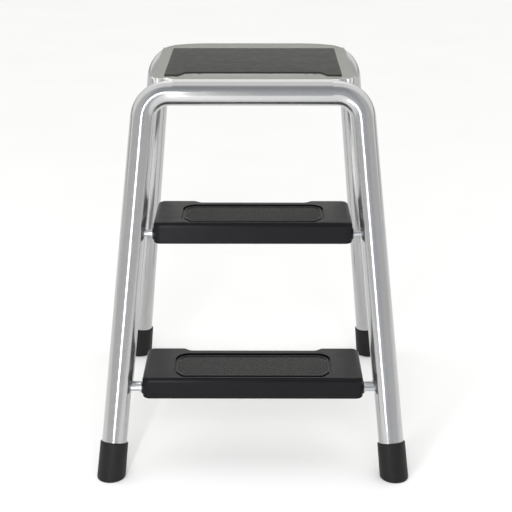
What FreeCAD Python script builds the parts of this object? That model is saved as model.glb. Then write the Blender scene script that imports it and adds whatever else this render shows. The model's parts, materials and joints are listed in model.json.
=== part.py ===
"""Folding step stool: two bent-tube frames, a hinged deck, two swinging treads.

Millimetres. +X is to the right, -Y is the side a person climbs from, +Z is up.
The origin is on the floor under the middle of the whole stool.
Names with _left are on the -X side.
"""

import FreeCAD, Part
import math
import os

from FreeCAD import Placement, Rotation, Vector

X_AXIS = Vector(1, 0, 0)
Y_AXIS = Vector(0, 1, 0)
Z_AXIS = Vector(0, 0, 1)
SIDES = (("left", -1), ("right", 1))
UNTURNED = Rotation()

# alias, value in mm or degrees, what it is
DIMENSIONS = [
    ("tube_diameter", 38.0, "outside diameter of both frame tubes"),
    ("tube_wall", 1.5, "wall of the frame tubes"),
    ("top_spacing", 327.0, "leg axes apart, carried up to the top bar's axis"),
    ("leg_splay", 5.1, "each leg out from the frame's middle plane, degrees"),
    ("bend_radius", 40.0, "centreline radius of the top bends"),
    ("front_lean", 16.5, "front frame back from upright, degrees"),
    ("drain_hole", 4.0, "drain hole in the front top bar"),
    ("drain_offset", 19.0, "drain hole left of the middle"),
    ("drain_angle", 38.0, "drain hole down from level, ahead of the bar, degrees"),
    ("bar_height", 558.5, "axes of both top bars above the floor"),
    ("deck_span", 318.0, "front top bar's axis to the rear one's"),
    ("foot_height", 52.0, "rubber foot above the floor"),
    ("foot_sole", 6.0, "rubber under the end of a tube"),
    ("foot_wall", 2.1, "rubber around the tube at the foot's rim"),
    ("foot_flare", 0.7, "how much wider the foot's wall is at the floor"),
    ("deck_sheet", 1.5, "pressed steel of the deck"),
    ("deck_width", 308.0, "deck across its side flanges"),
    ("roll_width", 240.0, "length of the deck's rolled front edge"),
    ("rear_roll_width", 180.0, "length of the deck's rolled rear edge"),
    ("deck_corner", 64.0, "rear corners of the deck's flat"),
    ("deck_front_corner", 20.0, "front corners of the deck's flat"),
    ("deck_step", 8.0, "front bar's axis to the full width of the flat"),
    ("flange_depth", 8.0, "side flange below the deck's underside"),
    ("flange_gap", 12.0, "side flange clear of both bars"),
    ("ear_width", 24.0, "deck ear around the coupler pin"),
    ("mat_width", 271.0, "mat on the deck, across"),
    ("mat_depth", 233.0, "mat on the deck, front to rear"),
    ("mat_setback", 28.0, "front top bar's axis to the mat"),
    ("mat_thickness", 1.8, "rubber mat"),
    ("mat_notch_width", 208.0, "cut-back in the mat's front edge"),
    ("mat_notch_depth", 21.0, "how far the mat is cut back"),
    ("bead_radius", 1.6, "pressed bead in the cut-back"),
    ("bead_inset", 6.0, "bead short of the cut-back's ends"),
    ("stiffener_width", 40.0, "channel under the deck"),
    ("stiffener_depth", 11.0, "height of that channel"),
    ("stiffener_sheet", 1.2, "sheet of that channel"),
    ("stiffener_shift", 10.0, "that channel behind the deck's middle"),
    ("strap_width", 26.0, "hinge strap along the bar"),
    ("strap_sheet", 2.0, "hinge strap steel"),
    ("strap_foot", 30.0, "riveted foot of a hinge strap"),
    ("strap_spacing", 176.0, "straps of one bar apart"),
    ("strap_wrap", 70.0, "strap around the tube's underside, degrees"),
    ("strap_rivet_diameter", 5.0, "rivets that hold a strap to the deck"),
    ("strap_rivet_head", 9.0, "their heads"),
    ("strap_rivet_head_height", 1.6, "their heads"),
    ("strap_rivet_rounding", 1.0, "rounding of their heads"),
    ("step_rod_diameter", 10.0, "rod that carries a tread"),
    ("upper_rod_height", 355.8, "upper tread's rod above the floor"),
    ("lower_rod_height", 130.8, "lower tread's rod above the floor"),
    ("upper_tread_width", 301.0, "upper tread across"),
    ("lower_tread_width", 335.0, "lower tread across"),
    ("tread_depth", 125.0, "tread front to rear at its ends"),
    ("tread_nose", 14.0, "tread ahead of its rod's axis"),
    ("tread_rise", 20.0, "tread's top above its rod's axis"),
    ("tread_height", 33.0, "tread's top to the bottom of its skirt"),
    ("tread_wall", 3.0, "skirt and ribs of a tread"),
    ("tread_top", 5.5, "top of a tread"),
    ("tread_edge", 6.5, "rounding of a tread's top edge"),
    ("skirt_edge", 2.5, "rounding of a skirt's bottom edge"),
    ("tread_lip", 9.5, "cap edge down from the top, above the skirt"),
    ("tread_lip_step", 0.3, "how far the skirt stands in from the cap"),
    ("tread_recess", 8.5, "rear edge is this far in between the ears"),
    ("tread_ear", 60.0, "ear at each end of the rear edge"),
    ("tread_ear_slope", 9.5, "slope from an ear to the edge between them"),
    ("tread_ear_radius", 8.0, "rounding of both ends of that slope"),
    ("tread_corner", 12.0, "rear corners of a tread"),
    ("tread_nose_corner", 11.0, "front corners of a tread"),
    ("rib_spacing", 48.0, "ribs under a tread apart"),
    ("pad_share", 0.70, "pad's width as a share of the tread's"),
    ("pad_front", 16.0, "tread's front edge to the pad"),
    ("pad_depth", 77.0, "pad front to rear"),
    ("pad_groove", 7.5, "groove ahead of the pad and behind it"),
    ("pad_side_groove", 3.1, "groove at the pad's ends"),
    ("pad_cut_width", 11.0, "cut front corners of the pad, across"),
    ("pad_cut_depth", 16.0, "cut front corners of the pad, front to rear"),
    ("pad_corner", 18.0, "rounded rear corners of the pad"),
    ("pad_edge", 0.6, "rounding of the pad's top edge"),
    ("pad_thickness", 2.4, "grip pad"),
    ("pad_sink", 3.0, "pad's seat below the tread's top"),
    ("boss_diameter", 20.0, "boss around a bush"),
    ("boss_length", 16.0, "boss in from the tread's end"),
    ("bush_wall", 1.8, "nylon bush"),
    ("bush_flange", 1.5, "flange of a bush outside the tread"),
    ("bush_flange_diameter", 18.0, "flange of a bush"),
    ("clip_thickness", 1.0, "push-on clip beside a bush"),
    ("clip_diameter", 15.0, "push-on clip"),
    ("collar_wall", 1.2, "teeth of a clip or push nut around their rod"),
    ("collar_length", 1.5, "teeth of a clip or push nut along their rod"),
    ("coupler_offset", 51.0, "coupler pins behind their hinges"),
    ("coupler_inset", 14.6, "coupler bar in from the leg's axis"),
    ("coupler_width", 12.0, "coupler bar"),
    ("coupler_sheet", 3.0, "coupler bar"),
    ("link_rod_diameter", 6.0, "rod from a tread to its coupler bars"),
    ("link_nut_diameter", 11.0, "push nut on the end of a link rod"),
    ("link_nut_thickness", 1.2, "push nut"),
    ("lug_width", 17.0, "tread lug around the link rod"),
    ("lug_thickness", 8.0, "tread lug along the rod"),
    ("pin_head_diameter", 10.0, "heads of the stay and coupler pins"),
    ("pin_head_height", 1.5, "heads of the stay and coupler pins"),
    ("stay_pin_head", 12.0, "outer heads of the stay pins"),
    ("pin_diameter", 6.0, "stay and coupler pins"),
    ("stay_front_drop", 155.0, "stay's front pin down the front leg"),
    ("stay_front_back", 21.0, "stay's front pin behind the leg's axis"),
    ("stay_rear_drop", 145.0, "stay's rear pin down the rear leg"),
    ("stay_rear_ahead", 40.0, "stay's rear pin ahead of the leg's axis"),
    ("stay_offset", 10.1, "inner face of the stays outside the top of the leg"),
    ("stay_width", 15.0, "stay"),
    ("stay_sheet", 3.0, "stay"),
    ("stay_slot_width", 9.2, "slot at the stay's rear end"),
    ("stay_slot_inward", 6.6, "slot before the rear pin"),
    ("stay_slot_outward", 17.6, "slot beyond the rear pin"),
    ("stay_slot_offset", 1.3, "slot's centre line below the line of the pins"),
    ("tab_sheet", 3.0, "welded tab that holds a stay's pin"),
    ("tab_width", 18.0, "welded tab"),
    ("turning_clearance", 0.6, "deck and straps around the tubes"),
    ("pin_clearance", 0.08, "radial, pins and rods that turn"),
    ("seat_clearance", 0.05, "radial, rods and feet that stay put"),
    ("grip_clearance", 0.01, "radial, push-on clips and nuts"),
    ("face_clearance", 0.3, "flat faces that slide past each other"),
]

doc = FreeCAD.newDocument("StepStool")
sheet = doc.addObject("Spreadsheet::Sheet", "Dimensions")
for row, (alias, value, note) in enumerate(DIMENSIONS, start=1):
    sheet.set(f"A{row}", note)
    sheet.set(f"B{row}", str(value))
    sheet.setAlias(f"B{row}", alias)
doc.recompute()


def size(alias):
    return float(sheet.get(alias))


def bind(feature, **expressions):
    """Ties properties of a feature to cells, written as D.alias."""
    for name, expression in expressions.items():
        feature.setExpression(name, expression.replace("D.", "Dimensions."))


def rad(alias):
    return math.radians(size(alias))


# --- where things are -------------------------------------------------------

tube_radius = size("tube_diameter") / 2
top_half = size("top_spacing") / 2
bar_height = size("bar_height")
lean = rad("front_lean")
splay = rad("leg_splay")
front_bar_y = bar_height * math.tan(lean)
rear_bar_y = front_bar_y + size("deck_span")
deck_underside = tube_radius + size("turning_clearance")
deck_top = deck_underside + size("deck_sheet")

# The front frame's own axes: x right, y square to it and backwards, z up it.
front_place = Placement(
    Vector(0, front_bar_y, bar_height), Rotation(X_AXIS, -size("front_lean"))
)
rear_place = Placement(Vector(0, rear_bar_y, bar_height), UNTURNED)
deck_place = Placement(Vector(0, front_bar_y, bar_height), UNTURNED)


def down_the_leg(height):
    """How far below the top bar, along the front frame, a height is."""
    return (bar_height - height) / math.cos(lean)


def leg_half(drop):
    """Leg axis from the middle, a drop below the top bar in the frame."""
    return top_half + drop * math.tan(splay)


upper_drop = down_the_leg(size("upper_rod_height"))
lower_drop = down_the_leg(size("lower_rod_height"))


def tread_place(drop):
    return Placement(front_place.multVec(Vector(0, 0, -drop)), UNTURNED)


# A coupler pin lies behind its hinge, square to the front frame.
pin_back = size("coupler_offset") * math.cos(lean)
pin_down = -size("coupler_offset") * math.sin(lean)

# --- small makers -----------------------------------------------------------

nodes = {}


def as_node(feature, name, place=None):
    """Names a finished feature; its label becomes its file's name."""
    feature.Label = name
    if place is not None:
        feature.Placement = place.multiply(feature.Placement)
    nodes[name] = feature
    return feature


def shape_node(name, shape, place=None):
    feature = doc.addObject("Part::Feature", name + "_shape")
    feature.Shape = shape
    return as_node(feature, name, place)


def along_x(x, y, z):
    """Placement that lays a cylinder along +X from a point."""
    return Placement(Vector(x, y, z), Rotation(Y_AXIS, 90))


def bar_x(radius, x_from, x_to, y, z):
    """Solid cylinder along X."""
    low, high = min(x_from, x_to), max(x_from, x_to)
    return Part.makeCylinder(radius, high - low, Vector(low, y, z), X_AXIS)


def block(x_low, x_high, y_low, y_high, z_low, z_high):
    return Part.makeBox(
        x_high - x_low, y_high - y_low, z_high - z_low, Vector(x_low, y_low, z_low)
    )


def prism(points, direction):
    """Solid from a closed outline of points, pushed along a vector."""
    wire = Part.makePolygon([*points, points[0]])
    return Part.Face(wire).extrude(direction)


def upright_edges(solid, test):
    """Edges along Z whose middle passes a test."""
    return [
        edge
        for edge in solid.Edges
        if edge.BoundBox.XLength < 0.01
        and edge.BoundBox.YLength < 0.01
        and test(edge.BoundBox.Center)
    ]


def joined(shapes):
    return shapes[0].multiFuse(shapes[1:]).removeSplitter()


def cylinder(name, diameter, height, place):
    """Cylinder bound to cells by two expressions."""
    feature = doc.addObject("Part::Cylinder", name)
    bind(feature, Radius=f"({diameter}) / 2", Height=height)
    feature.Placement = place
    return feature


def box(name, length, width, height, place):
    feature = doc.addObject("Part::Box", name)
    bind(feature, Length=length, Width=width, Height=height)
    feature.Placement = place
    return feature


def cut(name, base, tool):
    feature = doc.addObject("Part::Cut", name)
    feature.Base = base
    feature.Tool = tool
    return feature


def fused(name, features):
    feature = doc.addObject("Part::MultiFuse", name)
    feature.Shapes = features
    return feature


# --- frames -----------------------------------------------------------------


def origin_plane(body, role):
    return next(part for part in body.Origin.OriginFeatures if part.Role == role)


def attached_sketch(body, name, role):
    sketch = body.newObject("Sketcher::SketchObject", name)
    sketch.AttachmentSupport = [(origin_plane(body, role), "")]
    sketch.MapMode = "FlatFace"
    return sketch


def bent_tube(name, leg_drop):
    """Inverted U in the XZ plane, its top bar's axis along X through the origin.

    Half of it is a pipe along a sketched line, arc and line; the other half
    is its mirror image.
    """
    body = doc.addObject("PartDesign::Body", name)
    path = attached_sketch(body, name + "_path", "XZ_Plane")
    radius = size("bend_radius")
    tangent = radius * math.tan((math.pi / 2 - splay) / 2)
    straight = top_half - tangent
    turn_end = Vector(
        straight + radius * math.cos(splay), radius * math.sin(splay) - radius, 0
    )
    leg_end = Vector(leg_half(leg_drop), -leg_drop, 0)
    path.addGeometry(Part.LineSegment(Vector(), Vector(straight, 0, 0)))
    circle = Part.Circle(Vector(straight, -radius, 0), Z_AXIS, radius)
    path.addGeometry(Part.ArcOfCircle(circle, splay, math.pi / 2))
    path.addGeometry(Part.LineSegment(turn_end, leg_end))
    ring = attached_sketch(body, name + "_ring", "YZ_Plane")
    ring.addGeometry(Part.Circle(Vector(), Z_AXIS, tube_radius))
    ring.addGeometry(Part.Circle(Vector(), Z_AXIS, tube_radius - size("tube_wall")))
    doc.recompute()
    pipe = body.newObject("PartDesign::AdditivePipe", name + "_pipe")
    pipe.Profile = ring
    pipe.Spine = path
    doc.recompute()
    other_half = body.newObject("PartDesign::Mirrored", name + "_mirrored")
    other_half.Originals = [pipe]
    other_half.MirrorPlane = (origin_plane(body, "YZ_Plane"), [""])
    body.Tip = other_half
    doc.recompute()
    path.Visibility = False
    return body


def floor_block(name, top, width=700.0):
    """Block that takes away everything below a height bound to a cell."""
    deep = 80.0
    place = Placement(Vector(-width / 2, -width / 2, -deep), UNTURNED)
    feature = box(name, f"{width}", f"{2 * width}", f"{deep} + {top}", place)
    return feature


def frame_tube(name, place, leg_drop, holes):
    """Bent tube, cut level where it stands in its feet, and drilled."""
    over_length = 2 * tube_radius
    body = bent_tube(name + "_body", leg_drop + over_length)
    body.Placement = place
    tool = floor_block(name + "_floor", "D.foot_sole")
    if holes:
        tool = fused(name + "_tools", [tool, *holes])
    return as_node(cut(name + "_cut", body, tool), name)


def rod_hole(name, drop):
    """Drilling for a tread's rod, right across the front frame."""
    reach = leg_half(drop) + 2 * tube_radius
    place = front_place.multiply(along_x(-reach, 0, -drop))
    diameter = "D.step_rod_diameter + 2 * D.seat_clearance"
    return cylinder(name, diameter, f"{2 * reach}", place)


def drain_hole():
    """Small hole through the front of the top bar's wall, low on its left."""
    start = Vector(-size("drain_offset"), front_bar_y, bar_height)
    place = Placement(start, Rotation(X_AXIS, 90 + size("drain_angle")))
    return cylinder("drain_hole", "D.drain_hole", "D.tube_diameter", place)


def leg_axis(place, leg_drop, side):
    """Placement with +Z up a leg and its origin on the floor."""
    foot = place.multVec(Vector(side * leg_half(leg_drop), 0, -leg_drop))
    turn = Rotation(Y_AXIS, side * -size("leg_splay"))
    return Placement(foot, place.Rotation.multiply(turn))


def rubber_foot(name, axis):
    """Ferrule with a flat sole; the tube stands level on it inside."""
    below = 2 * tube_radius
    start = axis.multiply(Placement(Vector(0, 0, -below), UNTURNED))
    outer = doc.addObject("Part::Cone", name + "_outer")
    bind(
        outer,
        Radius1="D.tube_diameter / 2 + D.foot_wall + 2 * D.foot_flare",
        Radius2="D.tube_diameter / 2 + D.foot_wall",
        Height=f"{below} + D.foot_height",
    )
    outer.Placement = start
    bore_start = axis.multiply(Placement(Vector(0, 0, -below), UNTURNED))
    bore = cylinder(
        name + "_bore",
        "D.tube_diameter + 2 * D.seat_clearance",
        f"{2 * below} + D.foot_height",
        bore_start,
    )
    sole = floor_block(name + "_sole", "D.foot_sole")
    open_bore = cut(name + "_open_bore", bore, sole)
    shell = cut(name + "_shell", outer, open_bore)
    return as_node(cut(name + "_cut", shell, floor_block(name + "_floor", "0")), name)


front_leg_drop = down_the_leg(0)
rear_leg_drop = bar_height
frame_tube(
    "front_frame_tube",
    front_place,
    front_leg_drop,
    [
        rod_hole("upper_rod_hole", upper_drop),
        rod_hole("lower_rod_hole", lower_drop),
        drain_hole(),
    ],
)
frame_tube("rear_frame_tube", rear_place, rear_leg_drop, [])
for side_name, side in SIDES:
    rubber_foot("front_foot_" + side_name, leg_axis(front_place, front_leg_drop, side))
    rubber_foot("rear_foot_" + side_name, leg_axis(rear_place, rear_leg_drop, side))


# --- deck -------------------------------------------------------------------


def ring_sector(outer, x_low, x_high, start, sweep):
    """Bent sheet around a bar on the X axis; degrees from +Y towards +Z."""
    ring = Part.makeCylinder(outer, x_high - x_low, Vector(x_low, 0, 0), X_AXIS, sweep)
    ring = ring.cut(bar_x(deck_underside, x_low - 1, x_high + 1, 0, 0))
    ring.rotate(Vector(), X_AXIS, start - 90)  # a cylinder's sweep about X begins at +Z
    return ring


def deck_plate():
    """Pressed sheet: flat top, edges rolled over both bars, side flanges."""
    half = size("deck_width") / 2
    span = size("deck_span")
    sheet_t = size("deck_sheet")
    roll = size("roll_width") / 2
    rear_roll = size("rear_roll_width") / 2
    step_back = size("deck_step")
    flat = block(-half, half, step_back, span, deck_underside, deck_top)
    flat = flat.makeFillet(size("deck_corner"), upright_edges(flat, lambda c: c.y > span / 2))
    front_corners = upright_edges(flat, lambda c: c.y < span / 2)
    flat = flat.makeFillet(size("deck_front_corner"), front_corners)
    front_strip = block(-roll, roll, 0, step_back, deck_underside, deck_top)
    front_edge = ring_sector(deck_top, -roll, roll, 90, 90)
    rear_edge = ring_sector(deck_top, -rear_roll, rear_roll, 0, 90)
    rear_edge.translate(Vector(0, span, 0))
    pieces = [flat, front_strip, front_edge, rear_edge]
    flange_front = tube_radius + size("flange_gap")
    flange_low = deck_underside - size("flange_depth")
    ear = size("ear_width") / 2
    for _, side in SIDES:
        outer_x, inner_x = side * half, side * (half - sheet_t)
        low_x, high_x = min(outer_x, inner_x), max(outer_x, inner_x)
        pieces += [
            block(low_x, high_x, flange_front, span - flange_front, flange_low, deck_underside),
            block(low_x, high_x, pin_back - ear, pin_back + ear, pin_down, deck_underside),
            bar_x(ear, low_x, high_x, pin_back, pin_down),
        ]
    bead_y = size("mat_setback") + size("mat_notch_depth") / 2
    bead_half = size("mat_notch_width") / 2 - size("bead_inset")
    bead_radius = size("bead_radius")
    bead = bar_x(bead_radius, -bead_half, bead_half, bead_y, deck_top - bead_radius / 2)
    bead_low = bead_y - bead_radius, bead_y + bead_radius, 0, deck_underside
    pieces.append(bead.cut(block(-half, half, *bead_low)))
    plate = joined(pieces)
    hole = size("pin_diameter") / 2 + size("seat_clearance")
    plate = plate.cut(bar_x(hole, -half - 1, half + 1, pin_back, pin_down))
    for x, y in strap_rivet_points():
        plate = plate.cut(strap_rivet_hole(x, y))
    return plate


def strap_rivet_points():
    """Centres of the rivets in the deck's own axes: two for each strap."""
    points = []
    reach = deck_underside + size("strap_sheet") + size("strap_foot") / 2
    for x in (-size("strap_spacing") / 2, size("strap_spacing") / 2):
        for offset in (-size("strap_width") / 4, size("strap_width") / 4):
            points.append((x + offset, reach))
            points.append((x + offset, size("deck_span") - reach))
    return points


def strap_rivet_hole(x, y):
    radius = size("strap_rivet_diameter") / 2 + size("seat_clearance")
    return Part.makeCylinder(radius, 2 * deck_underside, Vector(x, y, 0))


def hinge_strap(x):
    """Strap that hooks under a bar and is riveted under the deck behind it."""
    sheet_t = size("strap_sheet")
    inner = deck_underside
    width = size("strap_width")
    wrap = size("strap_wrap")
    low_x, high_x = x - width / 2, x + width / 2
    ring = ring_sector(inner + sheet_t, low_x, high_x, -wrap, wrap)
    web = block(low_x, high_x, inner, inner + sheet_t, 0, deck_underside)
    foot_end = inner + sheet_t + size("strap_foot")
    foot = block(low_x, high_x, inner, foot_end, deck_underside - sheet_t, deck_underside)
    return joined([ring, web, foot])


def strap_pair(mirror_at=None):
    """Both straps of one bar, mirrored front to rear for the rear bar."""
    straps = []
    for x in (-size("strap_spacing") / 2, size("strap_spacing") / 2):
        strap = hinge_strap(x)
        if mirror_at is not None:
            strap = strap.mirror(Vector(0, mirror_at / 2, 0), Y_AXIS)
        for rivet_x, rivet_y in strap_rivet_points():
            strap = strap.cut(strap_rivet_hole(rivet_x, rivet_y))
        straps.append(strap)
    return Part.makeCompound(straps)


def strap_rivet(x, y):
    """Shank through strap and deck, flat on top, a round head below."""
    shank_low = deck_underside - size("strap_sheet")
    head_low = shank_low - size("strap_rivet_head_height")
    shank_radius = size("strap_rivet_diameter") / 2
    shank = Part.makeCylinder(shank_radius, deck_top - shank_low, Vector(x, y, shank_low))
    head_radius = size("strap_rivet_head") / 2
    head = Part.makeCylinder(head_radius, shank_low - head_low, Vector(x, y, head_low))
    rim = [edge for edge in head.Edges if edge.BoundBox.ZMax < head_low + 0.01]
    head = head.makeFillet(size("strap_rivet_rounding"), rim)
    return shank.fuse(head)


shape_node("deck_plate", deck_plate(), deck_place)
shape_node("front_hinge_straps", strap_pair(), deck_place)
shape_node("rear_hinge_straps", strap_pair(size("deck_span")), deck_place)
shape_node(
    "strap_rivets",
    Part.makeCompound([strap_rivet(x, y) for x, y in strap_rivet_points()]),
    deck_place,
)

mat_sheet = box(
    "mat_sheet",
    "D.mat_width",
    "D.mat_depth",
    "D.mat_thickness",
    Placement(Vector(-size("mat_width") / 2, size("mat_setback"), deck_top), UNTURNED),
)
mat_notch = box(
    "mat_notch",
    "D.mat_notch_width",
    "2 * D.mat_notch_depth",
    "3 * D.mat_thickness",
    Placement(
        Vector(
            -size("mat_notch_width") / 2,
            size("mat_setback") - size("mat_notch_depth"),
            deck_top - size("mat_thickness"),
        ),
        UNTURNED,
    ),
)
as_node(cut("mat_cut", mat_sheet, mat_notch), "deck_mat", deck_place)

stiffener_half = size("deck_width") / 2 - size("deck_sheet") - size("face_clearance")
stiffener_y = size("deck_span") / 2 + size("stiffener_shift") - size("stiffener_width") / 2
channel = box(
    "stiffener_outer",
    "D.deck_width - 2 * D.deck_sheet - 2 * D.face_clearance",
    "D.stiffener_width",
    "D.stiffener_depth",
    Placement(
        Vector(-stiffener_half, stiffener_y, deck_underside - size("stiffener_depth")), UNTURNED
    ),
)
channel_inside = box(
    "stiffener_inside",
    "D.deck_width",
    "D.stiffener_width - 2 * D.stiffener_sheet",
    "D.stiffener_depth",
    Placement(
        Vector(
            -size("deck_width") / 2,
            stiffener_y + size("stiffener_sheet"),
            deck_underside - size("stiffener_depth") + size("stiffener_sheet"),
        ),
        UNTURNED,
    ),
)
as_node(cut("stiffener_cut", channel, channel_inside), "deck_stiffener", deck_place)


# --- treads -----------------------------------------------------------------


def tread_outline(width, inset, z):
    """Tread seen from above, with a rear edge that steps in between its ears."""
    half = width / 2 - inset
    front = -size("tread_nose") + inset
    rear = size("tread_depth") - size("tread_nose") - inset
    recess = rear - size("tread_recess")
    ear_inner = half - size("tread_ear")
    slope = size("tread_ear_slope")
    return [
        Vector(-half, front, z),
        Vector(half, front, z),
        Vector(half, rear, z),
        Vector(ear_inner, rear, z),
        Vector(ear_inner - slope, recess, z),
        Vector(slope - ear_inner, recess, z),
        Vector(-ear_inner, rear, z),
        Vector(-half, rear, z),
    ]


def tread_layer(width, inset, low, high, shrink=0.0):
    """One level of the tread with rounded upright corners."""
    solid = prism(tread_outline(width, inset, low), Vector(0, 0, high - low))
    half = width / 2 - inset
    middle = size("tread_depth") / 2 - size("tread_nose")
    inner = half - size("tread_ear") / 2
    radii = (
        (size("tread_corner") - shrink, lambda c: abs(c.x) > inner and c.y > middle),
        (size("tread_nose_corner") - shrink, lambda c: abs(c.x) > inner and c.y < middle),
        (size("tread_ear_radius"), lambda c: abs(c.x) < inner and c.y > middle),
    )
    for radius, test in radii:
        solid = solid.makeFillet(radius, upright_edges(solid, test))
    return solid


def pad_prism(width, side_grow, grow, low, height):
    """Pad's shape: cut front corners, rounded rear ones, grown at its sides and ends."""
    half = width * size("pad_share") / 2 + side_grow
    front = size("pad_front") - size("tread_nose") - grow
    rear = front + size("pad_depth") + 2 * grow
    cut_x = size("pad_cut_width") + (side_grow + grow) / 4
    cut_y = size("pad_cut_depth") + (side_grow + grow) / 4
    outline = [
        Vector(cut_x - half, front, low),
        Vector(half - cut_x, front, low),
        Vector(half, front + cut_y, low),
        Vector(half, rear, low),
        Vector(-half, rear, low),
        Vector(-half, front + cut_y, low),
    ]
    solid = prism(outline, Vector(0, 0, height))
    rounding = size("pad_corner") + side_grow
    return solid.makeFillet(rounding, upright_edges(solid, lambda c: c.y > rear - 1))


def tread_shell(width):
    """Moulded tread: cap, skirt, ribs, bushes' bosses and link rod lugs."""
    top = size("tread_rise")
    bottom = top - size("tread_height")
    wall = size("tread_wall")
    lip = size("tread_lip_step")
    cap_bottom = top - size("tread_lip")
    ceiling = top - size("tread_top")
    half = width / 2
    rear = size("tread_depth") - size("tread_nose") - size("tread_recess")
    overlap = wall / 4
    cap = tread_layer(width, 0, cap_bottom, top)
    rim = [edge for edge in cap.Edges if edge.BoundBox.ZMin > top - 0.01]
    cap = cap.makeFillet(size("tread_edge"), rim)
    skirt = tread_layer(width, lip, bottom, cap_bottom)
    low_rim = [edge for edge in skirt.Edges if edge.BoundBox.ZMax < bottom + 0.01]
    skirt = skirt.makeFillet(size("skirt_edge"), low_rim)
    inside = tread_layer(width, lip + wall, bottom - 1, ceiling, wall / 2)
    shell = joined([cap, skirt]).cut(inside)
    lug = size("lug_width") / 2
    ribs = []
    for step in (-2, -1, 0, 1, 2):
        x = step * size("rib_spacing")
        ribs.append(block(x - wall / 2, x + wall / 2, -half, half, bottom, ceiling + overlap))
    for y in (pin_back / 2, pin_back + 2 * lug, rear - 2 * lug):
        ribs.append(block(-half, half, y - wall / 2, y + wall / 2, bottom, ceiling + overlap))
    reach = tread_layer(width, lip + wall - overlap, bottom, ceiling + overlap, wall / 2)
    ends = []
    for _, side in SIDES:
        end = side * (half - lip)
        lug_end = end - side * size("lug_thickness")
        low_x, high_x = min(end, lug_end), max(end, lug_end)
        ends += [
            block(low_x, high_x, pin_back - lug, pin_back + lug, pin_down, ceiling + overlap),
            bar_x(lug, end, lug_end, pin_back, pin_down),
            bar_x(size("boss_diameter") / 2, end, end - side * size("boss_length"), 0, 0),
        ]
    shell = joined([shell, joined(ribs).common(reach), *ends])
    bush_radius = size("step_rod_diameter") / 2 + size("bush_wall") + size("seat_clearance")
    link_radius = size("link_rod_diameter") / 2 + size("seat_clearance")
    shell = shell.cut(bar_x(bush_radius, -half - 1, half + 1, 0, 0))
    shell = shell.cut(bar_x(link_radius, -half - 1, half + 1, pin_back, pin_down))
    seat = top - size("pad_sink")
    grooves = size("pad_side_groove"), size("pad_groove")
    return shell.cut(pad_prism(width, *grooves, seat, 2 * size("pad_sink")))


def tread_pad(width):
    low = size("tread_rise") - size("pad_sink")
    pad = pad_prism(width, 0, 0, low, size("pad_thickness"))
    rim = [edge for edge in pad.Edges if edge.BoundBox.ZMin > low + 0.1]
    return pad.makeFillet(size("pad_edge"), rim)


def bush(half, side):
    """Flanged nylon bush pressed into a tread's end."""
    lip = size("tread_lip_step")
    inner = size("step_rod_diameter") / 2 + size("pin_clearance")
    outer = size("step_rod_diameter") / 2 + size("bush_wall")
    face = side * (half - lip)
    out = face + side * size("bush_flange")
    sleeve = bar_x(outer, face - side * size("boss_length"), face, 0, 0)
    flange = bar_x(size("bush_flange_diameter") / 2, face, out, 0, 0)
    return sleeve.fuse(flange).cut(bar_x(inner, -2 * half, 2 * half, 0, 0))


def clip_start(half):
    """Inner face of a push-on clip from the middle."""
    return half - size("tread_lip_step") + size("bush_flange") + size("face_clearance")


def push_clip(half, side):
    """Sprung washer with teeth bent outwards, pushed onto a rod."""
    start = side * clip_start(half)
    end = start + side * size("clip_thickness")
    disc = bar_x(size("clip_diameter") / 2, start, end, 0, 0)
    rod_radius = size("step_rod_diameter") / 2
    collar_end = end + side * size("collar_length")
    collar = bar_x(rod_radius + size("collar_wall"), end, collar_end, 0, 0)
    bore = bar_x(rod_radius + size("grip_clearance"), -2 * half, 2 * half, 0, 0)
    return disc.fuse(collar).cut(bore)


def coupler_half(drop):
    """Middle of a coupler bar's thickness from the stool's middle."""
    return leg_half(drop) - size("coupler_inset")


def coupler_reach():
    """From a coupler bar's middle to the furthest point of a face near a pin."""
    tilt = math.tan(splay) * size("coupler_width") / 2
    return size("coupler_sheet") / 2 / math.cos(splay) + tilt + size("face_clearance")


def push_nut(drop, side):
    start = side * (coupler_half(drop) + coupler_reach())
    end = start + side * size("link_nut_thickness")
    disc = bar_x(size("link_nut_diameter") / 2, start, end, pin_back, pin_down)
    rod_radius = size("link_rod_diameter") / 2
    collar_end = end + side * size("collar_length")
    collar = bar_x(rod_radius + size("collar_wall"), end, collar_end, pin_back, pin_down)
    bore_half = 2 * abs(start)
    bore_radius = rod_radius + size("grip_clearance")
    return disc.fuse(collar).cut(bar_x(bore_radius, -bore_half, bore_half, pin_back, pin_down))


def link_rod_half(drop):
    """Half the length of a link rod: it ends flush with its push nuts."""
    nut = size("link_nut_thickness") + size("collar_length")
    return coupler_half(drop) + coupler_reach() + nut


def make_tread(which, width, drop):
    place = tread_place(drop)
    half = width / 2
    shape_node(which + "_tread_shell", tread_shell(width), place)
    shape_node(which + "_tread_pad", tread_pad(width), place)
    bushes = Part.makeCompound([bush(half, side) for _, side in SIDES])
    shape_node(which + "_tread_bushes", bushes, place)
    clips = Part.makeCompound([push_clip(half, side) for _, side in SIDES])
    shape_node(which + "_rod_clips", clips, place)
    rod_half = leg_half(drop) + tube_radius - size("tube_wall") / 3
    rod_start = along_x(-rod_half, 0, 0)
    rod = cylinder(which + "_rod", "D.step_rod_diameter", f"{2 * rod_half}", rod_start)
    as_node(rod, which + "_step_rod", place)
    link_half = link_rod_half(drop)
    link = cylinder(
        which + "_link",
        "D.link_rod_diameter",
        f"{2 * link_half}",
        along_x(-link_half, pin_back, pin_down),
    )
    as_node(link, which + "_link_rod", place)
    nuts = Part.makeCompound([push_nut(drop, side) for _, side in SIDES])
    shape_node(which + "_link_nuts", nuts, place)


make_tread("upper", size("upper_tread_width"), upper_drop)
make_tread("lower", size("lower_tread_width"), lower_drop)


# --- coupler bars -----------------------------------------------------------


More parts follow.
